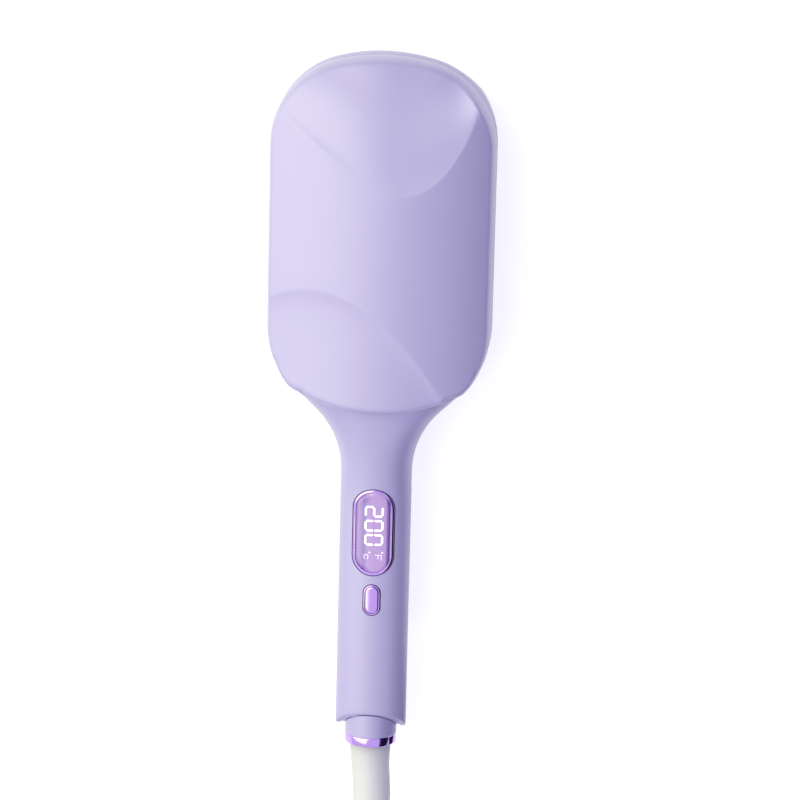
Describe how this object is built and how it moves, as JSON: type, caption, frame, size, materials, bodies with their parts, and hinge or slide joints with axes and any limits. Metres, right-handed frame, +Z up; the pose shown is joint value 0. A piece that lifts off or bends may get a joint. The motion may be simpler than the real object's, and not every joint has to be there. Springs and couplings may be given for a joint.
{
  "type": "hair waver",
  "caption": "Closed hair waver with wide sculpted heads, wave-shaped plates, a squeeze lever, an oval display and button in a slim round handle, and a swivelling mains cord.",
  "frame": {"origin": "middle of the tool's footprint on the surface it lies on, cord not counted", "axes": "+Y towards the tip of the heads, +X to the right seen from the display side, +Z up, out of the display side"},
  "size_m": [0.1516, 0.5519, 0.055],
  "materials": {
    "body": "satin",
    "plated": "plated violet",
    "lens": "glossy, tinted",
    "black": "heat resistant",
    "glaze": "ceramic glaze on aluminium",
    "steel": "bright",
    "ceramic": "ceramic",
    "brass": "bright",
    "board": "lacquered",
    "cord": "soft matt"
  },
  "bodies": {
    "handle": {"upper_head_cover": "body", "handle_upper_shell": "body", "handle_lower_shell": "body", "upper_plate": "glaze", "upper_carrier": "black", "upper_heater": "ceramic", "upper_heater_clamp": "steel", "thermal_cutout": "ceramic", "carrier_screws": "steel", "display_bezel": "plated", "display_lens": "lens", "display_module": "black", "button_bezel": "plated", "tact_switch": "black", "main_pcb": "board", "handle_screws": "steel", "hinge_bracket": "steel", "hinge_pin": "steel", "return_spring": "steel", "tail_collar": "body", "collar_ring": "plated", "cord_lead": "cord", "cord_coil": "cord", "cord_tie": "cord", "plug_body": "cord", "plug_pins": "steel"},
    "lower_jaw": {"lower_head_cover": "body", "lower_plate": "glaze", "lower_carrier": "black", "lower_heaters": "ceramic", "lower_heater_clamps": "steel", "thermostat": "black", "lower_carrier_screws": "steel", "lever_shell": "body", "lever_cover": "body", "lever_frame": "black", "lever_screws": "steel", "hinge_bushes": "brass"},
    "button": {"power_button": "plated"},
    "swivel": {"swivel_spigot": "black", "swivel_keeper": "brass", "strain_relief": "cord"}
  },
  "joints": [
    {"name": "jaw_hinge", "type": "hinge", "parent": "handle", "child": "lower_jaw", "pos_m": [0, -0.0256, 0.017], "axis": [-1, 0, 0], "range_deg": [0, 10], "stiffness_Nm_per_rad": 1.2, "springref_deg": -28.65, "deforming": ["return_spring"]},
    {"name": "button_press", "type": "slide", "parent": "handle", "child": "button", "axis": [0, 0, -1], "range_m": [0, 0.0008], "stiffness_N_per_m": 1500, "springref_m": -0.0004},
    {"name": "cord_swivel", "type": "hinge", "parent": "handle", "child": "swivel", "pos_m": [0, -0.1583, 0.0255], "axis": [0, 1, 0], "continuous": true}
  ]
}
